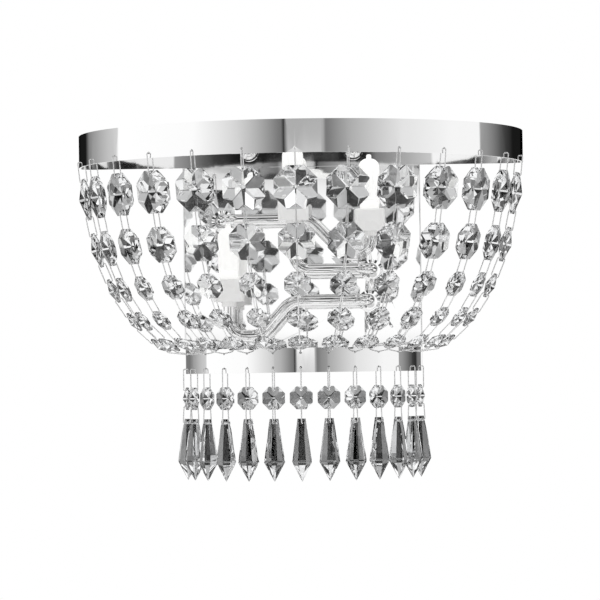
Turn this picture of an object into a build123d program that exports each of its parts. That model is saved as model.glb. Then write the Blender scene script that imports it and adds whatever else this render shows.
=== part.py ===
from build123d import *
from math import atan2, cos, degrees, pi
import os

# Crystal wall sconce. Millimetres. The wall is the plane y = 0 and the sconce stands out of it
# towards -Y. +Z is up, and the origin is the middle of the wall bracket's back face.

# ---------------------------------------------------------------- driving dimensions

# Bands: half-round strips with a straight back
top_band_radius = 140.0
top_band_height = 20.0
top_band_corner = 8.0
lower_band_radius = 75.0
lower_band_height = 15.0
lower_band_corner = 4.0
band_thickness = 1.2
basket_height = 115.0        # clear height between the two bands
hole_from_edge = 3.0
hole_radius = 0.75

# Crystals
strand_count = 13
strand_spread = 157.2        # degrees between the first and the last strand
strand_slack = 0.067         # spare length of a strand over the straight line between its holes
strand_crystals = [26.0, 22.0, 16.0, 14.0, 14.0]     # width across flats, from the top down
pendant_crystal = 14.0
crystal_fullness = 0.14      # growth of the half thickness with the width
crystal_least_half = 1.1
crystal_corner_half = 0.45   # half thickness at a corner of the octagon
crystal_bevel_share = 0.13   # width of the rim facets over the width of the crystal
crystal_rim_half = 0.55      # half thickness at the middle of a flat
crystal_hole_radius = 0.8
crystal_hole_inset = 2.1

# Wire loops that link the crystals
wire_radius = 0.35
loop_half_width = 2.3
loop_corner = 1.0
loop_over_edge = 1.4         # rise of a loop above the lower band's upper edge
pendant_loop_reach = 13.6
drop_loop_reach = 10.3
drop_loop_half_width = 2.9

# Icicle drops
drop_length = 38.5
drop_width = 12.0
drop_top_width = 5.0
drop_point_length = 12.0
drop_top_half = 1.7          # half thickness of the flattened top
drop_flat_length = 11.0      # length over which the top is flattened
drop_hole_from_top = 2.6

# Wall plate, a shallow tray
plate_depth = 18.0
plate_thickness = 1.0
plate_corner = 3.0
plate_front_round = 0.8
plate_hole_clearance = 0.1

# Wall bracket
bracket_width = 124.0
bracket_clearance = 0.5      # between the strap and the tray round it
bracket_thickness = 2.0
bracket_corner = 4.0
tongue_width = 46.0
tongue_length = 34.0         # below the strap
wall_slot_spacing = 100.0
wall_slot_length = 12.0
wall_slot_width = 5.0
cable_hole_radius = 6.0
stud_spacing = 66.0
stud_radius = 2.0
stud_clearance = 0.2
stud_projection = 4.6        # past the top band's back

# Cap nuts and screws
cap_nut_radius = 6.3
cap_nut_base = 3.4
stud_end_gap = 0.3           # between the stud and the bottom of its nut
thread_clearance = 0.04
band_screw_spacing = 80.0
band_screw_radius = 1.5
band_screw_head_radius = 3.0
band_screw_head_height = 2.0
band_screw_tail = 4.0        # behind the plate's front face
screw_clearance = 0.2
screw_head_round = 0.8
recess_width = 0.9
recess_depth = 1.0
recess_margin = 1.2          # between the recess and the rim of the head
earth_screw_radius = 2.0
earth_head_radius = 3.6
earth_head_height = 2.4
earth_screw_drop = 7.0       # below the strap's lower edge
earth_tail_gap = 0.2         # between the screw's end and the wall

# Terminal block
block_width = 34.0
block_height = 16.0
block_depth = 12.0
block_chamfer = 1.2
block_gap_below_strap = 13.0
pole_pitch = 9.0
clip_thickness = 1.2
clip_depth = 6.0
clip_height = 8.0
terminal_screw_radius = 1.9
terminal_screw_length = 6.0
terminal_well_depth = 7.5
terminal_entry_depth = 5.0
lead_entry_gap = 0.4         # between a lead's end and the bottom of its entry

# Tube arms, lampholders and lamps
tube_radius = 3.5
tube_bore_radius = 1.8
tube_bend = 10.0
tube_soft_bend = 14.0
tube_dip_bend = 11.0
tube_tail = 3.5              # length of the tube behind the plate's front face
wire_clearance = 0.25        # between a lead and the bore round it
nut_across_flats = 11.0
nut_thickness = 2.2
collar_radius = 7.0
collar_base = 1.4
collar_nose = 1.6
collar_nose_radius = 5.0
holder_width = 19.0
holder_depth = 13.0
holder_height = 14.0
holder_corner = 3.0
holder_neck_radius = 4.6
holder_neck_height = 3.0
holder_top_chamfer = 0.8
holder_seat_depth = 2.0
seat_clearance = 0.3
lamp_pin_spacing = 9.0
lamp_pin_radius = 0.6
lamp_pin_length = 8.0
pin_hole_clearance = 0.25
lamp_radius = 6.5
lamp_height = 34.0           # above the holder
lamp_foot_height = 7.0
lamp_foot_depth = 6.0
lamp_foot_width = 12.0
lamp_foot_corner = 1.0
lamp_neck_overlap = 1.0      # the glass body starts this far below the top of its foot
lamp_base_round = 2.5
lamp_crown_round = 5.5
lamp_tip_radius = 1.6
lamp_tip_length = 2.6
lamp_tip_round = 1.2
lamp_seat_gap = 0.1
lead_bend = 9.0              # behind the tube
lead_turn = 12.0             # on the way up to the terminal block
lead_in_holder = 2.0         # past the end of the tube
lead_plane = 5.5             # height of the leads over the wall
lead_room = 21.0             # height under the terminal block in which a lead turns up

# Where the tubes pass the plate and where the lamps stand: sideways, and up from the lower
# band's lower edge
upper_entry = (-50.0, 95.8)
upper_tube_dip = [(6.0, 95.8), (27.0, 74.0)]
upper_lamp = (43.0, 84.5)
upper_reach = 24.0           # distance of the tube in front of the plate
middle_entry = (44.0, 63.5)
middle_lamp = (-4.0, 91.0)
middle_reach = 46.0
lower_entry = (42.0, 44.3)
lower_lamp = (-44.0, 41.0)
lower_reach = 55.0
lower_tube_dip = [(-6.0, 44.3), (-25.0, 23.0)]


# ---------------------------------------------------------------- derived places

top_band_bottom = -top_band_height / 2
lower_band_top = top_band_bottom - basket_height
lower_band_bottom = lower_band_top - lower_band_height
top_hole_z = top_band_bottom + hole_from_edge
strand_end_z = lower_band_top - hole_from_edge
pendant_hole_z = lower_band_bottom + hole_from_edge
top_hole_r = top_band_radius - band_thickness / 2
lower_hole_r = lower_band_radius - band_thickness / 2
strand_angles = [strand_spread * (k / (strand_count - 1) - 0.5) for k in range(strand_count)]
plate_front = -plate_depth
plate_back = plate_front + plate_thickness
plate_width = 2 * lower_band_radius
bar_front = plate_front - band_thickness
stud_places = [-stud_spacing / 2, stud_spacing / 2]
band_screw_places = [-band_screw_spacing / 2, band_screw_spacing / 2]
band_screw_z = lower_band_bottom + lower_band_height / 2
lead_radius = tube_bore_radius - wire_clearance
bracket_height = top_band_height - 2 * (plate_thickness + bracket_clearance)
strap_bottom = -bracket_height / 2
tongue_bottom = strap_bottom - tongue_length
earth_z = strap_bottom - earth_screw_drop
block_top = strap_bottom - block_gap_below_strap
block_bottom = block_top - block_height
block_middle = (block_top + block_bottom) / 2
poles = [-pole_pitch, 0.0, pole_pitch]
tube_entries = [upper_entry, middle_entry, lower_entry]
seat_z = holder_neck_height + holder_height - holder_seat_depth


def along_y(radius, back, front):
    """A cylinder on the Y axis between two planes."""
    return Pos(0, (back + front) / 2, 0) * Cylinder(radius, back - front, rotation=(90, 0, 0))


# ---------------------------------------------------------------- bands

def half_round(radius, corner):
    """The filled outline of a band: half a disc whose two back corners are rounded."""
    disc = Circle(radius) & Pos(0, -radius) * Rectangle(2 * radius, 2 * radius)
    back_corners = disc.vertices().sort_by(Axis.Y)[-2:]
    return fillet(back_corners, corner)


def band(radius, corner, height, bottom, hole_heights):
    """A half-round strip with a row of holes at each height, one hole for every strand."""
    outer = half_round(radius, corner)
    strip = extrude(outer - offset(outer, -band_thickness), height)
    strip = Pos(0, plate_front, bottom) * strip
    drill = Pos(0, -radius, 0) * Cylinder(hole_radius, 6 * band_thickness, rotation=(90, 0, 0))
    for hole_z in hole_heights:
        strip -= [Pos(0, plate_front, hole_z) * Rot(0, 0, angle) * drill for angle in strand_angles]
    return strip


def top_band():
    strip = band(top_band_radius, top_band_corner, top_band_height, top_band_bottom, [top_hole_z])
    drill = along_y(stud_radius + stud_clearance, plate_front, bar_front)
    return strip - [Pos(x, 0, 0) * drill for x in stud_places]


def lower_band():
    rows = [strand_end_z, pendant_hole_z]
    strip = band(lower_band_radius, lower_band_corner, lower_band_height, lower_band_bottom, rows)
    drill = along_y(band_screw_radius + screw_clearance, plate_front, bar_front)
    return strip - [Pos(x, 0, band_screw_z) * drill for x in band_screw_places]


# ---------------------------------------------------------------- crystals

def octagon(across_flats, turned):
    return RegularPolygon(across_flats / 2, 8, major_radius=False, rotation=turned)


def pyramid_pair(turned, apex, distance, half_there):
    """Two octagon pyramids base to base, whose faces pass at a given distance through a half thickness."""
    reach = apex * distance / (apex - half_there)
    base = octagon(2 * reach, turned)
    upper = loft([base.face(), Vertex(0, 0, apex)])
    return upper + mirror(upper, Plane.XY)


def crystal(width):
    """An octagon crystal that faces -Y: kite facets to a point, a narrow facet on each flat, two holes."""
    half = crystal_fullness * width + crystal_least_half
    corner_distance = width / 2 / cos(pi / 8)
    kites = pyramid_pair(0, half, corner_distance, crystal_corner_half)
    rim_start = width / 2 * (1 - 2 * crystal_bevel_share)
    kite_fall = (half - crystal_corner_half) / corner_distance * cos(pi / 8)
    rim_start_half = half - kite_fall * rim_start
    rim_fall = (rim_start_half - crystal_rim_half) / (width / 2 - rim_start)
    rims = pyramid_pair(22.5, crystal_rim_half + rim_fall * width / 2, width / 2, crystal_rim_half)
    body = extrude(octagon(width, 22.5), half, both=True) & kites & rims
    hole = width / 2 - crystal_hole_inset
    drill = Cylinder(crystal_hole_radius, 4 * half)
    return Rot(90, 0, 0) * (body - [Pos(0, hole, 0) * drill, Pos(0, -hole, 0) * drill])


def icicle():
    """A drop with its top at the origin: eight long facets, a pointed foot and a flattened top."""
    shoulder = drop_length - drop_point_length
    widest = Pos(0, 0, -shoulder) * octagon(drop_width, 22.5)
    body = loft([octagon(drop_top_width, 22.5).face(), widest.face()])
    body += loft([widest.face(), Vertex(0, 0, -drop_length)])
    flat_end_half = (drop_top_width + (drop_width - drop_top_width) * drop_flat_length / shoulder) / 2
    side = [(-drop_top_half, 0), (drop_top_half, 0), (flat_end_half, -drop_flat_length)]
    side += [(drop_width, -drop_length), (-drop_width, -drop_length), (-flat_end_half, -drop_flat_length)]
    body &= extrude(Plane.YZ * Polygon(*side, align=None), drop_width, both=True)
    drill = Cylinder(crystal_hole_radius, 2 * drop_width, rotation=(90, 0, 0))
    return body - Pos(0, 0, -drop_hole_from_top) * drill


# ---------------------------------------------------------------- wire loops
# A strand lies in one upright plane through the middle of the bands. Its points are vectors whose
# X is the distance from that middle and whose Y is the height.

inward = Vector(-1, 0)


def wire_loop(corners):
    """A closed wire loop through corners in the strand's plane."""
    path = FilletPolyline(*[(0, -p.X, p.Y) for p in corners], radius=loop_corner, close=True)
    return sweep(Plane(origin=path @ 0, z_dir=path % 0) * Circle(wire_radius), path=path)


def link(low, low_axis, low_half, high, high_axis, high_half):
    """A loop through two holes, each crossed along its own axis."""
    low_side = low_axis * low_half
    high_side = high_axis * high_half
    return wire_loop([low + low_side, high + high_side, high - high_side, low - low_side])


def end_link(hole, low, low_axis):
    """The loop from a strand's last crystal through the lower band, closed over the band's upper edge."""
    over = low + low_axis * loop_half_width
    under = low - low_axis * loop_half_width
    inside = hole + (hole - under).normalized() * loop_half_width
    above = Vector(inside.X, lower_band_top + loop_over_edge)
    return wire_loop([over, above, inside, under])


# ---------------------------------------------------------------- strands

def chain(links, pull, lift):
    """Joints of a hanging chain from its lower end up, for the pull outwards and upwards on that end."""
    joints = [Vector(lower_hole_r, strand_end_z)]
    for length, weight in links:
        lift += weight / 2
        joints.append(joints[-1] + Vector(pull, lift).normalized() * length)
        lift += weight / 2
    return joints


def hanging_chain(links, top):
    """The chain that hangs between the two bands: Newton steps on its pulls until it ends at the top hole."""
    pull = 2.0
    lift = 0.3
    nudge = 1e-6
    for _ in range(200):
        end = chain(links, pull, lift)[-1]
        miss = top - end
        if miss.length < 1e-9:
            break
        by_pull = (chain(links, pull + nudge, lift)[-1] - end) / nudge
        by_lift = (chain(links, pull, lift + nudge)[-1] - end) / nudge
        area = by_pull.X * by_lift.Y - by_lift.X * by_pull.Y
        more_pull = (miss.X * by_lift.Y - by_lift.X * miss.Y) / area
        more_lift = (by_pull.X * miss.Y - miss.X * by_pull.Y) / area
        part = min(1, 0.5 / max(abs(more_pull), abs(more_lift)))
        pull += more_pull * part
        lift += more_lift * part
    return chain(links, pull, lift)


def strand():
    """The strand's crystals and loops, in the plane x = 0 with the bands' middle at the origin."""
    widths = list(reversed(strand_crystals))
    top = Vector(top_hole_r, top_hole_z)
    straight = (top - Vector(lower_hole_r, strand_end_z)).length
    between_holes = [width - 2 * crystal_hole_inset for width in widths]
    loop_reach = (straight * (1 + strand_slack) - sum(between_holes)) / (len(widths) + 1)
    links = [(loop_reach, 0.0)]
    for width, length in zip(widths, between_holes):
        links += [(length, (width / widths[0]) ** 3), (loop_reach, 0.0)]
    joints = hanging_chain(links, top)
    pieces = []
    hole, axis = None, None
    for k, width in enumerate(widths):
        low = joints[2 * k + 1]
        high = joints[2 * k + 2]
        along = (high - low).normalized()
        across = Vector(-along.Y, along.X)
        middle = (low + high) / 2
        tilt = degrees(atan2(along.X, along.Y))
        pieces.append(Pos(0, -middle.X, middle.Y) * Rot(tilt, 0, 0) * crystal(width))
        if k == 0:
            pieces.append(end_link(joints[0], low, across))
        else:
            pieces.append(link(hole, axis, loop_half_width, low, across, loop_half_width))
        hole, axis = high, across
    pieces.append(link(hole, axis, loop_half_width, joints[-1], inward, loop_half_width))
    return pieces


# ---------------------------------------------------------------- pendants

def pendant_bead():
    """The bead under the lower band and the loop that holds it, one below the other."""
    ring_hole = Vector(lower_hole_r, pendant_hole_z)
    top_hole = ring_hole - Vector(0, pendant_loop_reach)
    middle = top_hole.Y - pendant_crystal / 2 + crystal_hole_inset
    loop = link(top_hole, inward, loop_half_width, ring_hole, inward, loop_half_width)
    return [Pos(0, -lower_hole_r, middle) * crystal(pendant_crystal), loop]


def pendant_drop():
    """The icicle under the bead and the loop between them."""
    bead_reach = pendant_loop_reach + pendant_crystal - 2 * crystal_hole_inset
    bead_hole = Vector(lower_hole_r, pendant_hole_z - bead_reach)
    drop_hole = bead_hole - Vector(0, drop_loop_reach)
    loop = link(drop_hole, inward, drop_loop_half_width, bead_hole, inward, loop_half_width)
    return [Pos(0, -lower_hole_r, drop_hole.Y + drop_hole_from_top) * icicle(), loop]


# ---------------------------------------------------------------- wall side

def wall_plate():
    """A square tray, open towards the wall, that carries both bands and the tubes."""
    middle_z = (top_band_height / 2 + lower_band_bottom) / 2
    plate_height = top_band_height / 2 - lower_band_bottom
    face = Plane.XZ * Pos(0, middle_z) * RectangleRounded(plate_width, plate_height, plate_corner)
    hollow_width = plate_width - 2 * plate_thickness
    hollow_height = plate_height - 2 * plate_thickness
    hollow_corner = plate_corner - plate_thickness
    hollow = Plane.XZ * Pos(0, middle_z) * RectangleRounded(hollow_width, hollow_height, hollow_corner)
    tray = extrude(face, plate_depth)
    tray = fillet(tray.faces().sort_by(Axis.Y)[0].edges(), plate_front_round)
    tray -= extrude(hollow, plate_depth - plate_thickness)
    stud_hole = along_y(stud_radius + stud_clearance, plate_back, plate_front)
    tray -= [Pos(x, 0, 0) * stud_hole for x in stud_places]
    screw_hole = along_y(band_screw_radius + thread_clearance, plate_back, plate_front)
    tray -= [Pos(x, 0, band_screw_z) * screw_hole for x in band_screw_places]
    tube_hole = along_y(tube_radius + plate_hole_clearance, plate_back, plate_front)
    return tray - [Pos(x, 0, lower_band_bottom + z) * tube_hole for x, z in tube_entries]


def wall_bracket():
    """The strap that is screwed to the wall, its tongue with two clips, and the two studs."""
    strap = RectangleRounded(bracket_width, bracket_height, bracket_corner)
    tongue = Pos(0, tongue_bottom / 2) * RectangleRounded(tongue_width, -tongue_bottom, bracket_corner)
    slot = SlotOverall(wall_slot_length, wall_slot_width)
    outline = strap + tongue - Circle(cable_hole_radius)
    outline -= [Pos(x, 0) * slot for x in (-wall_slot_spacing / 2, wall_slot_spacing / 2)]
    outline -= Pos(0, earth_z) * Circle(earth_screw_radius + thread_clearance)
    bracket = extrude(Plane.XZ * outline, bracket_thickness)
    stud = along_y(stud_radius, -bracket_thickness, bar_front - stud_projection)
    bracket += [Pos(x, 0, 0) * stud for x in stud_places]
    clip_x = (block_width + clip_thickness) / 2
    clip = Box(clip_thickness, clip_depth, clip_height)
    clip_y = -bracket_thickness - clip_depth / 2
    return bracket + [Pos(x, clip_y, block_middle) * clip for x in (-clip_x, clip_x)]


def cap_nut():
    """A domed nut that stands on the band's back bar."""
    dome = Sphere(cap_nut_radius, arc_size1=0)
    nut = Cylinder(cap_nut_radius, cap_nut_base, align=(Align.CENTER, Align.CENTER, Align.MIN))
    nut += Pos(0, 0, cap_nut_base) * dome
    nut = Pos(0, bar_front, 0) * Rot(90, 0, 0) * nut
    bottom = bar_front - stud_projection - stud_end_gap
    return nut - along_y(stud_radius + thread_clearance, bar_front, bottom)


def cross_screw(shaft_radius, head_radius, head_height, seat, tail):
    """A pan-head screw on the Y axis with a cross recess, from its tail to the head on its seat."""
    screw = along_y(shaft_radius, tail, seat)
    head = along_y(head_radius, seat, seat - head_height)
    head = fillet(head.edges().sort_by(Axis.Y)[0], screw_head_round)
    arm = Box(2 * (head_radius - recess_margin), 2 * recess_depth, recess_width)
    recess = Pos(0, seat - head_height, 0) * (arm + Rot(0, 90, 0) * arm)
    return screw + head - recess


def lower_band_screw():
    tail = plate_front + band_screw_tail
    return cross_screw(band_screw_radius, band_screw_head_radius, band_screw_head_height, bar_front, tail)


def earth_screw():
    seat = -bracket_thickness
    screw = cross_screw(earth_screw_radius, earth_head_radius, earth_head_height, seat, -earth_tail_gap)
    return Pos(0, 0, earth_z) * screw


# ---------------------------------------------------------------- terminal block

def terminal_block():
    """A three-pole block on the tongue: screw wells in front, wire entries above and below."""
    block = Box(block_width, block_depth, block_height)
    front_edges = block.faces().sort_by(Axis.Y)[0].edges()
    block = chamfer(front_edges, block_chamfer)
    block = Pos(0, -bracket_thickness - block_depth / 2, block_middle) * block
    front = -bracket_thickness - block_depth
    well = along_y(terminal_screw_radius + thread_clearance, front + terminal_well_depth, front)
    entry = Cylinder(lead_radius + wire_clearance, terminal_entry_depth)
    lower_entry_z = block_bottom + terminal_entry_depth / 2
    upper_entry_z = block_top - terminal_entry_depth / 2
    for x in poles:
        block -= Pos(x, 0, block_middle) * well
        block -= [Pos(x, -lead_plane, lower_entry_z) * entry, Pos(x, -lead_plane, upper_entry_z) * entry]
    return block


def terminal_screw():
    """A slotted grub screw at the bottom of its well."""
    well_bottom = -bracket_thickness - block_depth + terminal_well_depth
    head = well_bottom - terminal_screw_length
    screw = along_y(terminal_screw_radius, well_bottom, head)
    slot = Box(2 * terminal_screw_radius, 2 * recess_depth, recess_width)
    return Pos(0, 0, block_middle) * (screw - Pos(0, head, 0) * slot)


# ---------------------------------------------------------------- tube arms and leads

def tube_route(entry, lamp_place, reach, dip):
    """Corners of a tube from its tail behind the plate to the top of the lampholder's neck."""
    front = plate_front - reach
    turns = [(x, front, lower_band_bottom + z) for x, z in [entry] + dip]
    below_lamp = (lamp_place[0], front, turns[-1][2])
    tail = (entry[0], plate_front + tube_tail, turns[0][2])
    end = (lamp_place[0], front, lower_band_bottom + lamp_place[1] + holder_neck_height)
    return [tail] + turns + [below_lamp, end]


def round_bar(route, bends, radius):
    """A round bar along straight runs joined by arcs."""
    path = FilletPolyline(*route, radius=bends)
    return sweep(Plane(origin=path @ 0, z_dir=path % 0) * Circle(radius), path=path)


def tube_arm(route, bends):
    return round_bar(route, bends, tube_radius) - round_bar(route, bends, tube_bore_radius)


def lead(route, bends, pole_x):
    """A lead from the terminal block across the plate's hollow and through its tube to the lampholder."""
    entry_x, _, entry_z = route[0]
    lamp_x, lamp_y, tube_end_z = route[-1]
    block_end = (pole_x, -lead_plane, block_bottom + terminal_entry_depth - lead_entry_gap)
    below_block = (pole_x, -lead_plane, min(entry_z, block_bottom - lead_room))
    behind_tube = (entry_x, -lead_plane, entry_z)
    lamp_end = (lamp_x, lamp_y, tube_end_z + lead_in_holder)
    points = [block_end, below_block, behind_tube] + route[1:-1] + [lamp_end]
    return round_bar(points, [lead_turn, lead_bend] + bends, lead_radius)


def tube_collar(entry):
    """The chrome ring on the tube in front of the plate, with its conical nose."""
    base = Pos(0, 0, collar_base / 2) * Cylinder(collar_radius, collar_base)
    nose = Pos(0, 0, collar_base + collar_nose / 2) * Cone(collar_radius, collar_nose_radius, collar_nose)
    ring = base + nose - Cylinder(tube_radius + thread_clearance, 4 * (collar_base + collar_nose))
    return Pos(entry[0], plate_front, lower_band_bottom + entry[1]) * Rot(90, 0, 0) * ring


def tube_locknut(entry):
    """The six-sided nut on the tube's tail behind the plate."""
    ring = RegularPolygon(nut_across_flats / 2, 6, major_radius=False)
    nut = extrude(ring - Circle(tube_radius + thread_clearance), nut_thickness)
    return Pos(entry[0], plate_back + nut_thickness, lower_band_bottom + entry[1]) * Rot(90, 0, 0) * nut


# ---------------------------------------------------------------- lampholders and lamps
# Both are drawn about the Z axis from the lampholder's foot, and stand on the end of their tube.

def lampholder():
    """A ceramic block with a neck for the tube, a seat for the lamp's foot and two pin holes."""
    body = extrude(RectangleRounded(holder_width, holder_depth, holder_corner), holder_height)
    body = Pos(0, 0, holder_neck_height) * body
    body = chamfer(body.faces().sort_by(Axis.Z)[-1].edges(), holder_top_chamfer)
    holder = body + Pos(0, 0, holder_neck_height / 2) * Cylinder(holder_neck_radius, holder_neck_height)
    holder -= Cylinder(tube_radius + thread_clearance, 2 * holder_neck_height)
    holder -= Pos(0, 0, holder_neck_height) * Cylinder(tube_bore_radius, 2 * (lead_in_holder + lead_entry_gap))
    seat = Rectangle(lamp_foot_width + 2 * seat_clearance, lamp_foot_depth + 2 * seat_clearance)
    holder -= Pos(0, 0, seat_z) * extrude(seat, 2 * holder_seat_depth)
    pin_hole = Cylinder(lamp_pin_radius + pin_hole_clearance, 2 * (lamp_pin_length + pin_hole_clearance))
    return holder - [Pos(x, 0, seat_z) * pin_hole for x in (-lamp_pin_spacing / 2, lamp_pin_spacing / 2)]


def lamp():
    """A capsule lamp in its seat: the glass with its pinched foot and tip, and two pins."""
    foot_z = seat_z + lamp_seat_gap
    top_z = holder_neck_height + holder_height + lamp_height
    bulb_height = top_z - lamp_tip_length - foot_z - lamp_foot_height + lamp_neck_overlap
    bulb = extrude(Circle(lamp_radius), bulb_height)
    bulb = fillet(bulb.edges().sort_by(Axis.Z)[-1], lamp_crown_round)
    bulb = fillet(bulb.edges().sort_by(Axis.Z)[0], lamp_base_round)
    foot = extrude(RectangleRounded(lamp_foot_width, lamp_foot_depth, lamp_foot_corner), lamp_foot_height)
    tip = extrude(Circle(lamp_tip_radius), bulb_height + lamp_tip_length)
    tip = fillet(tip.edges().sort_by(Axis.Z)[-1], lamp_tip_round)
    glass = Pos(0, 0, lamp_foot_height - lamp_neck_overlap) * (bulb + tip) + foot
    pin = extrude(Circle(lamp_pin_radius), -lamp_pin_length)
    pins = [Pos(x, 0, foot_z) * pin for x in (-lamp_pin_spacing / 2, lamp_pin_spacing / 2)]
    return [Pos(0, 0, foot_z) * glass] + pins


# ---------------------------------------------------------------- assembly

def write(name, pieces):
    """Write one named sub-part, whose pieces stay separate solids."""
    solids = [solid for piece in pieces for solid in piece.solids()]
    shape = solids[0] if len(solids) == 1 else Compound(solids)
    export_step(shape, f"parts/{name}.step")


os.makedirs("parts", exist_ok=True)

write("wall_bracket", [wall_bracket()])
write("wall_plate", [wall_plate()])
write("top_band", [top_band()])
write("lower_band", [lower_band()])
write("cap_nuts", [Pos(x, 0, 0) * cap_nut() for x in stud_places])
write("lower_band_screws", [Pos(x, 0, band_screw_z) * lower_band_screw() for x in band_screw_places])
write("terminal_block", [terminal_block()])
write("terminal_screws", [Pos(x, 0, 0) * terminal_screw() for x in poles])
write("earth_screw", [earth_screw()])
write("tube_collars", [tube_collar(entry) for entry in tube_entries])
write("tube_locknuts", [tube_locknut(entry) for entry in tube_entries])

arms = {
    "left": (lower_entry, lower_lamp, lower_reach, lower_tube_dip, poles[1]),
    "centre": (middle_entry, middle_lamp, middle_reach, [], poles[2]),
    "right": (upper_entry, upper_lamp, upper_reach, upper_tube_dip, poles[0]),
}
leads = []
for side, (entry, lamp_place, reach, dip, pole_x) in arms.items():
    route = tube_route(entry, lamp_place, reach, dip)
    bends = [tube_bend] + [tube_soft_bend, tube_dip_bend][: len(dip)] + [tube_bend]
    foot = Pos(lamp_place[0], plate_front - reach, lower_band_bottom + lamp_place[1])
    write(f"lamp_arm_{side}", [tube_arm(route, bends)])
    write(f"lampholder_{side}", [foot * lampholder()])
    write(f"lamp_{side}", [foot * piece for piece in lamp()])
    leads.append(lead(route, bends, pole_x))
write("wiring_loom", leads)

strand_pieces = strand()
bead_pieces = pendant_bead()
drop_pieces = pendant_drop()
for k, angle in enumerate(strand_angles, start=1):
    turn = Pos(0, plate_front, 0) * Rot(0, 0, angle)
    write(f"strand_{k:02d}", [turn * piece for piece in strand_pieces])
    write(f"pendant_bead_{k:02d}", [turn * piece for piece in bead_pieces])
    write(f"pendant_drop_{k:02d}", [turn * piece for piece in drop_pieces])
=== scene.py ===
import math

import bmesh
import bpy
from mathutils import Matrix


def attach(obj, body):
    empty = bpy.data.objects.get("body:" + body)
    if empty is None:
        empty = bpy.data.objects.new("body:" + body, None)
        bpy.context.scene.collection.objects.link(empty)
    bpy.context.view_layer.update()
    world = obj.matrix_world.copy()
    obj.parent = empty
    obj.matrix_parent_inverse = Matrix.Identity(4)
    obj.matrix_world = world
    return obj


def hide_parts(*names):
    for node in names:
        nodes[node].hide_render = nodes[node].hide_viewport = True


# Crystal wall sconce: chrome bands, cut crystals on wire loops, capsule lamps on bent tubes.
# Metres, in the frame's own axes: the wall is y = 0, the light stands out towards -Y, +Z is up.

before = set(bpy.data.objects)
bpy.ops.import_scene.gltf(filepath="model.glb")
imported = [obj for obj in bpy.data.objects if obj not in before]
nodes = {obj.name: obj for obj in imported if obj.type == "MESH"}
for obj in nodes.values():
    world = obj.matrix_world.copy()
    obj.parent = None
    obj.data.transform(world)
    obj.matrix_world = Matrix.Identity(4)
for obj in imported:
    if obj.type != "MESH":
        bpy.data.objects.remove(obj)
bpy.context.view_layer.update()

SIDES = ("left", "centre", "right")
STRANDS = sorted(name for name in nodes if name.startswith("strand_"))
PENDANTS = sorted(name for name in nodes if name.startswith("pendant_"))

# Camera, fitted to the photograph's holes and drop tips
CAMERA_PLACE = (0.0537, -2.1533, -0.1403)
CAMERA_YAW = math.radians(1.49)       # to the left
CAMERA_PITCH = math.radians(1.233)    # upwards
CAMERA_ROLL = math.radians(-0.824)
CAMERA_LENS = 203.0
SENSOR_WIDTH = 36.0

# Crystals and wire
MERGE_DISTANCE = 2e-6
FACET_ANGLE = math.radians(0.6)
FACET_EDGE = 0.00012                  # width of the polished edges between the facets
LEAST_RIDGE = 0.0015                  # the rims of the wire holes stay sharp
RIDGE_ANGLE = math.radians(5)
RIM_ANGLE = math.radians(60)          # an edge of sheet metal
LEAST_RIM = 0.004                     # shorter edges are those round the drilled holes
LEAST_CRYSTAL_VOLUME = 1e-7           # cubic metres; a wire loop has far less

# Wall plate
PLATE_EDGE = 0.0007                   # width of its rounded edges
EDGE_SEGMENTS = 2
FLAT_FACES_LEAD = 100                 # the flat faces, and not the edges, set the shading

# Floor
FLOOR_DEPTH = 1.1                     # under the light
FLOOR_SIZE = 3.0


# ---------------------------------------------------------------- camera

def add_camera():
    data = bpy.data.cameras.new("camera")
    data.lens = CAMERA_LENS
    data.sensor_width = SENSOR_WIDTH
    data.clip_start = 0.1
    data.clip_end = 50.0
    camera = bpy.data.objects.new("camera", data)
    bpy.context.scene.collection.objects.link(camera)
    turn = Matrix.Rotation(CAMERA_YAW, 4, "Z") @ Matrix.Rotation(math.pi / 2 + CAMERA_PITCH, 4, "X")
    camera.matrix_world = Matrix.Translation(CAMERA_PLACE) @ turn @ Matrix.Rotation(CAMERA_ROLL, 4, "Z")
    bpy.context.scene.camera = camera


# ---------------------------------------------------------------- shader maths

class Socket:
    """A shader socket that can be added, multiplied and so on; each step adds its Math node."""

    def __init__(self, tree, socket):
        self.tree = tree
        self.socket = socket

    def math(self, operation, *values):
        return self.tree.node("ShaderNodeMath", {"operation": operation}, values)

    def __add__(self, other):
        return self.math("ADD", self, other)

    def __radd__(self, other):
        return self.math("ADD", other, self)

    def __sub__(self, other):
        return self.math("SUBTRACT", self, other)

    def __rsub__(self, other):
        return self.math("SUBTRACT", other, self)

    def __mul__(self, other):
        return self.math("MULTIPLY", self, other)

    def __rmul__(self, other):
        return self.math("MULTIPLY", other, self)

    def __truediv__(self, other):
        return self.math("DIVIDE", self, other)


class Tree:
    """The node tree of a material or the world."""

    def __init__(self, owner):
        owner.use_nodes = True
        self.nodes = owner.node_tree.nodes
        self.links = owner.node_tree.links
        self.nodes.clear()

    def node(self, kind, settings, inputs, output=0):
        """Adds a node: its settings first, then its sockets by position or by name. Returns one output."""
        made = self.nodes.new(kind)
        for name, value in settings.items():
            if name == "stops":
                self.set_stops(made.color_ramp, value)
            else:
                setattr(made, name, value)
        pairs = inputs.items() if isinstance(inputs, dict) else enumerate(inputs)
        for name, value in pairs:
            if isinstance(value, Socket):
                self.links.new(value.socket, made.inputs[name])
            else:
                made.inputs[name].default_value = value
        return Socket(self, made.outputs[output]) if made.outputs else made

    def set_stops(self, ramp, stops):
        while len(ramp.elements) < len(stops):
            ramp.elements.new(1.0)
        for element, (place, grey) in zip(ramp.elements, stops):
            element.position = place
            element.color = (grey, grey, grey, 1.0)


def grey(value):
    return (value, value, value, 1.0)


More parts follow.
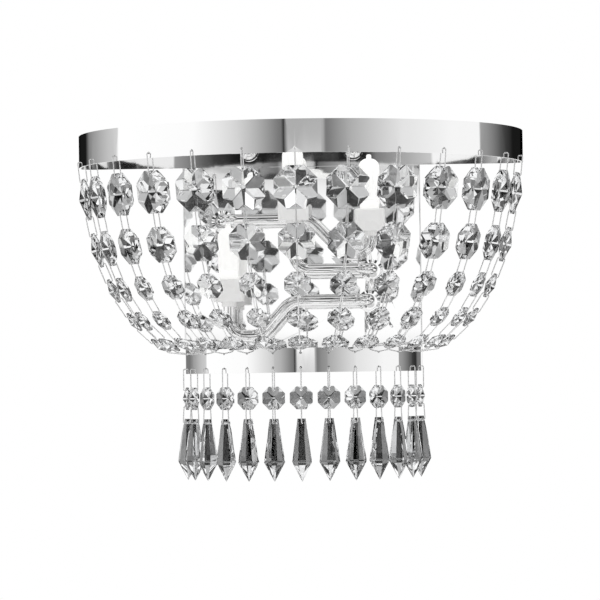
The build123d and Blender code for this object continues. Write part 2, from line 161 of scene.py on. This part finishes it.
# ---------------------------------------------------------------- studio
# The light is plain, and the pale and dark cards that the chrome and the crystals show are painted on the
# world by direction. Turn is the angle round the light from the front, in degrees to the right, and rise is
# the height in degrees. A card's sides are stops of 0 and 1, the rest are grey levels.

# The chessboard of pale and dark fields over and under eye level
FIELDS_BY_RISE = (
    (-90, 1.0), (-75, 1.0), (-74, 0.0), (-56, 0.0), (-55, 1.0), (-38, 1.0), (-37, 0.0), (-23, 0.0),
    (-22, 1.0), (0, 1.0), (8, 0.0), (17, 0.0), (18, 1.0), (29, 1.0), (30, 0.0), (41, 0.0), (42, 1.0),
    (60, 1.0), (61, 0.0), (76, 0.0), (77, 1.0),
)
FIELDS_BY_TURN = (
    (-180, 0.0), (-142, 0.0), (-141, 1.0), (-112, 1.0), (-111, 0.0), (-84, 0.0), (-83, 1.0), (-58, 1.0),
    (-57, 0.0), (-24, 0.0), (-23, 1.0), (-8, 1.0), (-7, 0.0), (26, 0.0), (27, 1.0), (50, 1.0),
    (51, 0.0), (80, 0.0), (81, 1.0), (108, 1.0), (109, 0.0), (138, 0.0), (139, 1.0),
)
DARK_FIELD = 0.05
PALE_FIELD = 1.1
DIMMED_RISE = (
    (-27, 0.0), (-26, 1.0), (-16, 1.0), (-15, 0.0), (34, 0.0), (35, 1.0), (40, 1.0), (41, 0.0),
)
DIMMING = 0.5
POLES_RISE = ((-66, 1.0), (-58, 0.0), (80, 0.0), (84, 1.0))   # straight under and over the light
POLES_LEVEL = 0.12

# The row at eye level, which the bands show
EYE_LEVEL_RISE = ((-4, 0.0), (-3, 1.0), (7, 1.0), (9, 0.0))
EYE_LEVEL = (
    (-180, 0.01), (-153, 0.06), (-106, 0.72), (-105.5, 1.12), (-54, 1.08), (-33, 0.76), (-26, 0.62),
    (-10.4, 0.23), (-7.6, 0.18), (-7.3, 0.02), (-6.3, 0.02), (-6, 0.46), (12.1, 0.46), (12.3, 0.7),
    (12.5, 0.7), (12.8, 0.2), (15.6, 0.23), (26, 0.45), (54, 0.85), (85, 1.02), (105.5, 1.02),
    (106, 0.4), (130, 0.06), (144, 0.01), (180, 0.01),
)

# Its middle in front, which the wall plate shows
FRONT_MIDDLE = 3
FRONT_HALF_WIDTH = ((8.8, 1.0), (9.1, 0.0))
FRONT = ((0.55, 0.72), (0.7, 1.12), (3.3, 1.12), (3.6, 0.46))

# In front, under and over eye level
WIDE_HALF_WIDTH = ((60, 1.0), (66, 0.0))
LOW_FRONT_RISE = ((-64, 0.0), (-62, 1.0), (-30, 1.0), (-28, 0.0))
LOW_FRONT = 0.02
OVER_FRONT_RISE = ((8, 0.0), (9, 1.0), (16, 1.0), (18, 0.0))
OVER_FRONT = ((9, 0.02), (11, 0.65), (26, 0.65), (28, 0.02))
HIGH_FRONT_RISE = ((17.5, 0.0), (18.5, 1.0), (28, 1.0), (30, 0.0))
HIGH_FRONT_HALF_WIDTH = ((26, 1.0), (28, 0.0))
HIGH_FRONT = ((-26, 0.45), (-7, 0.45), (-5, 0.02), (16, 0.02), (18, 0.5), (30, 0.5))

# Behind the light, which most crystals show
BEHIND_HALF_WIDTH = ((34, 1.0), (40, 0.0))
BEHIND = (
    (-30, 0.9), (-20, 0.6), (-17, 0.2), (2.5, 0.2), (3.3, 0.01), (7, 0.01), (8, 0.2), (13, 0.2),
    (15, 0.02), (26, 0.02), (30, 0.8),
)
MIDDLE_BEHIND_HALF_WIDTH = ((17, 1.0), (20, 0.0))
MIDDLE_BEHIND = (
    (-45, 0.3), (-30, 0.35), (-26, 0.3), (-19, 0.22), (-17, 0.0), (-6, 0.0), (-5, 0.3), (-4, 1.0),
    (2.8, 1.0), (3.3, 0.0), (27, 0.0), (29, 0.5), (45, 0.45),
)
SMALL_CARDS_BEHIND = (                                        # two, by the turn from straight behind
    (-9, 0.0), (-8.8, 1.0), (-4.6, 1.0), (-4.4, 0.0), (9.7, 0.0), (9.9, 1.0), (16, 1.0), (16.2, 0.0),
)
SMALL_CARDS_RISE = ((18.5, 0.0), (19, 1.0), (23.2, 1.0), (23.4, 0.0))

DIFFUSE_LIGHT = 1.12                                          # what lights the lamps, ceramic and floor
BACKGROUND = 1.0                                              # what the camera sees


def ramp(tree, value, low, high, stops):
    """A value looked up in stops that are written in the value's own units."""
    placed = [((place - low) / (high - low), level) for place, level in stops]
    return tree.node("ShaderNodeValToRGB", {"stops": placed}, [(value - low) / (high - low)])


def mix(share, first, second):
    """One grey level or the other."""
    return (1 - share) * first + share * second


class Directions:
    """Looks stops up by where a direction points, seen from the light."""

    def __init__(self, tree):
        self.tree = tree
        direction = tree.node("ShaderNodeTexCoord", {}, {}, "Generated")
        x, y, z = (tree.node("ShaderNodeSeparateXYZ", {}, [direction], axis) for axis in "XYZ")
        self.turn = x.math("ARCTAN2", x, 0 - y) * math.degrees(1)
        self.turn_behind = x.math("ARCTAN2", 0 - x, y) * math.degrees(1)
        self.aside = self.turn.math("ABSOLUTE", self.turn)
        self.rise = z.math("ARCSINE", z) * math.degrees(1)

    def by_turn(self, stops):
        return ramp(self.tree, self.turn, -180, 180, stops)

    def by_turn_behind(self, stops):
        return ramp(self.tree, self.turn_behind, -180, 180, stops)

    def by_angle(self, stops):
        """The angle from straight in front, to either side."""
        return ramp(self.tree, self.aside, 0, 180, stops)

    def by_angle_from_front_middle(self, stops):
        return ramp(self.tree, self.turn.math("ABSOLUTE", self.turn - FRONT_MIDDLE), 0, 180, stops)

    def by_angle_behind(self, stops):
        return ramp(self.tree, 180 - self.aside, 0, 180, stops)

    def by_rise(self, stops):
        return ramp(self.tree, self.rise, -90, 90, stops)


def chessboard(seen):
    down = seen.by_rise(FIELDS_BY_RISE)
    across = seen.by_turn(FIELDS_BY_TURN)
    level = mix(down.math("ABSOLUTE", down - across), DARK_FIELD, PALE_FIELD)
    level = mix(seen.by_rise(DIMMED_RISE), level, level * DIMMING)
    return mix(seen.by_rise(POLES_RISE), level, POLES_LEVEL)


def eye_level_row(seen, level):
    in_front = seen.by_angle_from_front_middle(FRONT_HALF_WIDTH)
    row = mix(in_front, seen.by_turn(EYE_LEVEL), seen.by_rise(FRONT))
    return mix(seen.by_rise(EYE_LEVEL_RISE), level, row)


def cards_in_front(seen, level):
    wide = seen.by_angle(WIDE_HALF_WIDTH)
    level = mix(wide * seen.by_rise(LOW_FRONT_RISE), level, LOW_FRONT)
    level = mix(wide * seen.by_rise(OVER_FRONT_RISE), level, seen.by_angle(OVER_FRONT))
    high = seen.by_angle(HIGH_FRONT_HALF_WIDTH) * seen.by_rise(HIGH_FRONT_RISE)
    return mix(high, level, seen.by_turn(HIGH_FRONT))


def cards_behind(seen, level):
    level = mix(seen.by_angle_behind(BEHIND_HALF_WIDTH), level, seen.by_rise(BEHIND))
    level = mix(seen.by_angle_behind(MIDDLE_BEHIND_HALF_WIDTH), level, seen.by_rise(MIDDLE_BEHIND))
    small_cards = seen.by_turn_behind(SMALL_CARDS_BEHIND) * seen.by_rise(SMALL_CARDS_RISE)
    return mix(small_cards, level, PALE_FIELD)


def studio():
    world = bpy.data.worlds.new("studio")
    bpy.context.scene.world = world
    tree = Tree(world)
    seen = Directions(tree)
    level = cards_behind(seen, cards_in_front(seen, eye_level_row(seen, chessboard(seen))))
    level = mix(tree.node("ShaderNodeLightPath", {}, {}, "Is Diffuse Ray"), level, DIFFUSE_LIGHT)
    level = mix(tree.node("ShaderNodeLightPath", {}, {}, "Is Camera Ray"), level, BACKGROUND)
    shade = tree.node("ShaderNodeBackground", {}, {"Color": level, "Strength": 1.0})
    tree.node("ShaderNodeOutputWorld", {}, {"Surface": shade})


def add_floor():
    """A pale floor far under the light."""
    shape = bmesh.new()
    bmesh.ops.create_grid(shape, x_segments=1, y_segments=1, size=FLOOR_SIZE / 2)
    bmesh.ops.translate(shape, vec=(0, 0, -FLOOR_DEPTH), verts=shape.verts)
    floor = new_object("floor", shape)
    material = bpy.data.materials.new("floor")
    tree = Tree(material)
    shade = tree.node("ShaderNodeBsdfPrincipled", {}, {"Base Color": grey(0.9), "Roughness": 0.9})
    tree.node("ShaderNodeOutputMaterial", {}, {"Surface": shade})
    floor.data.materials.append(material)


# ---------------------------------------------------------------- materials

# Places of the Mix node's sockets that carry a share and colours
MIX_SHARE, MIX_FIRST_COLOUR, MIX_SECOND_COLOUR = 0, 6, 7
MIX_RESULT_COLOUR = 2


def new_material(name):
    material = bpy.data.materials.new(name)
    return material, Tree(material)


def finish_material(tree, **sockets):
    """The material's shader. An underscore stands for the space in a socket's name."""
    named = {key.replace("_", " "): value for key, value in sockets.items()}
    shade = tree.node("ShaderNodeBsdfPrincipled", {}, named)
    tree.node("ShaderNodeOutputMaterial", {}, {"Surface": shade})


def noise(tree, scale, detail=2.0):
    place = tree.node("ShaderNodeTexCoord", {}, {}, "Object")
    return tree.node("ShaderNodeTexNoise", {}, {"Vector": place, "Scale": scale, "Detail": detail}, 0)


def bump(tree, height, distance):
    return tree.node("ShaderNodeBump", {}, {"Height": height, "Distance": distance, "Strength": 1.0})


def blend(tree, share, first, second):
    """One colour or the other."""
    colours = {MIX_SHARE: share, MIX_FIRST_COLOUR: first, MIX_SECOND_COLOUR: second}
    return tree.node("ShaderNodeMix", {"data_type": "RGBA"}, colours, MIX_RESULT_COLOUR)


def chrome():
    material, tree = new_material("chrome")
    haze = noise(tree, 35.0, 3.0)
    ripple = bump(tree, noise(tree, 18.0), 0.00006)
    finish_material(tree, Base_Color=grey(0.9), Metallic=1.0, Roughness=0.015 + haze * 0.03, Normal=ripple)
    return material


def wire():
    material, tree = new_material("loop_wire")
    haze = noise(tree, 400.0)
    finish_material(tree, Base_Color=grey(0.95), Metallic=1.0, Roughness=0.3 + haze * 0.1)
    return material


def cut_crystal():
    material, tree = new_material("cut_crystal")
    polish = noise(tree, 160.0, 3.0)
    finish_material(
        tree, Base_Color=(0.99, 0.995, 1.0, 1.0), Transmission_Weight=1.0, IOR=1.56, Roughness=polish * 0.004,
        Specular_IOR_Level=0.06)
    return material


def lamp_glass():
    material, tree = new_material("lamp_glass")
    frost = noise(tree, 700.0, 3.0)
    finish_material(
        tree, Base_Color=(0.99, 0.99, 0.98, 1.0), Transmission_Weight=0.25, IOR=1.47,
        Roughness=0.3 + frost * 0.2, Emission_Color=(1.0, 1.0, 0.99, 1.0), Emission_Strength=0.2)
    return material


def glazed_ceramic():
    material, tree = new_material("glazed_ceramic")
    cloud = noise(tree, 90.0, 4.0)
    surface = bump(tree, noise(tree, 900.0, 3.0), 0.00004)
    colour = blend(tree, cloud, (0.955, 0.95, 0.94, 1.0), (0.985, 0.985, 0.98, 1.0))
    finish_material(tree, Base_Color=colour, Roughness=0.22 + cloud * 0.12, Coat_Weight=0.3, Normal=surface)
    return material


def plated_steel():
    material, tree = new_material("plated_steel")
    spangle = noise(tree, 260.0, 2.0)
    surface = bump(tree, spangle, 0.00003)
    finish_material(
        tree, Base_Color=grey(0.62), Metallic=1.0, Roughness=0.28 + spangle * 0.16, Normal=surface)
    return material


def plain_brass():
    material, tree = new_material("plain_brass")
    tarnish = noise(tree, 180.0, 4.0)
    colour = blend(tree, tarnish, (0.62, 0.44, 0.17, 1.0), (0.8, 0.62, 0.3, 1.0))
    finish_material(tree, Base_Color=colour, Metallic=1.0, Roughness=0.2 + tarnish * 0.2)
    return material


def terminal_plastic():
    material, tree = new_material("terminal_plastic")
    grain = bump(tree, noise(tree, 1500.0, 2.0), 0.00003)
    finish_material(tree, Base_Color=grey(0.8), Roughness=0.45 + noise(tree, 200.0) * 0.1, Normal=grain)
    return material


def wire_sleeve():
    material, tree = new_material("wire_sleeve")
    surface = bump(tree, noise(tree, 700.0, 3.0), 0.00006)
    finish_material(
        tree, Base_Color=(0.82, 0.81, 0.77, 1.0), Roughness=0.5 + noise(tree, 300.0) * 0.15,
        Normal=surface)
    return material


# ---------------------------------------------------------------- pieces

def new_object(name, shape, smooth=False):
    """An object made from a bmesh, at the origin with its place in its mesh."""
    mesh = bpy.data.meshes.new(name)
    shape.to_mesh(mesh)
    shape.free()
    for face in mesh.polygons:
        face.use_smooth = smooth
    made = bpy.data.objects.new(name, mesh)
    bpy.context.scene.collection.objects.link(made)
    return made


def islands(shape):
    """The separate closed pieces of a bmesh, each as its faces."""
    left = set(shape.faces)
    while left:
        start = left.pop()
        island = [start]
        open_faces = [start]
        while open_faces:
            face = open_faces.pop()
            for edge in face.edges:
                for other in edge.link_faces:
                    if other in left:
                        left.remove(other)
                        island.append(other)
                        open_faces.append(other)
        yield island


def volume(faces):
    """The volume inside a closed set of triangles."""
    total = 0.0
    for face in faces:
        a, b, c = (vert.co for vert in face.verts)
        total += a.dot(b.cross(c)) / 6
    return total


def merged_copy(node):
    shape = bmesh.new()
    shape.from_mesh(nodes[node].data)
    bmesh.ops.remove_doubles(shape, verts=shape.verts, dist=MERGE_DISTANCE)
    return shape


def keep_pieces(shape, crystals):
    """Leaves only the crystals, or only the wire loops."""
    gone = []
    for piece in islands(shape):
        if (volume(piece) > LEAST_CRYSTAL_VOLUME) != crystals:
            gone.extend(piece)
    bmesh.ops.delete(shape, geom=gone, context="FACES")


def dress_crystal_node(node, glass, metal):
    """Crystals with flat facets and polished edges, and their smooth wire loops, in place of one node."""
    shape = merged_copy(node)
    keep_pieces(shape, crystals=True)
    bmesh.ops.dissolve_limit(shape, angle_limit=FACET_ANGLE, verts=shape.verts, edges=shape.edges)
    ridges = [e for e in shape.edges if e.calc_length() > LEAST_RIDGE and e.calc_face_angle(0) > RIDGE_ANGLE]
    bmesh.ops.bevel(shape, geom=ridges, offset=FACET_EDGE, segments=1, affect="EDGES", clamp_overlap=True)
    crystals = new_object(node + "_crystals", shape)
    crystals.data.materials.append(glass)
    shape = merged_copy(node)
    keep_pieces(shape, crystals=False)
    loops = new_object(node + "_wire_loops", shape, smooth=True)
    loops.data.materials.append(metal)
    for piece, slot in ((crystals, "crystal"), (loops, "chrome")):
        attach(piece, node)
        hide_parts(node)


def is_rim(edge):
    """Whether an edge is an outer one of the sheet, and not one of the short ones round a drilled hole."""
    return edge.is_manifold and edge.calc_face_angle(0) > RIM_ANGLE and edge.calc_length() >= LEAST_RIM


def dress_wall_plate(material):
    """The plate with rounded edges that catch the light."""
    shape = merged_copy("wall_plate")
    rims = [edge for edge in shape.edges if is_rim(edge)]
    bmesh.ops.bevel(
        shape, geom=rims, offset=PLATE_EDGE, segments=EDGE_SEGMENTS, affect="EDGES", clamp_overlap=True)
    piece = new_object("wall_plate_polished", shape, smooth=True)
    piece.data.materials.append(material)
    piece.modifiers.new("normals", "WEIGHTED_NORMAL").weight = FLAT_FACES_LEAD
    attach(piece, "frame")
    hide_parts("wall_plate")


def dress_node(node, material):
    slots = nodes[node].data.materials
    slots.clear()
    slots.append(material)


# ---------------------------------------------------------------- making

add_camera()
studio()
add_floor()

crystal_glass = cut_crystal()
loop_metal = wire()
for name in STRANDS + PENDANTS:
    dress_crystal_node(name, crystal_glass, loop_metal)

chrome_finish = chrome()
dress_wall_plate(chrome_finish)
for name in ("top_band", "lower_band", "cap_nuts", "lower_band_screws", "tube_collars"):
    dress_node(name, chrome_finish)
steel = plated_steel()
for name in ("wall_bracket", "terminal_screws"):
    dress_node(name, steel)
brass = plain_brass()
for name in ("earth_screw", "tube_locknuts"):
    dress_node(name, brass)
dress_node("terminal_block", terminal_plastic())
dress_node("wiring_loom", wire_sleeve())
ceramic = glazed_ceramic()
glass = lamp_glass()
for side in SIDES:
    dress_node("lamp_arm_" + side, chrome_finish)
    dress_node("lampholder_" + side, ceramic)
    dress_node("lamp_" + side, glass)

bpy.context.scene.view_settings.view_transform = "Standard"
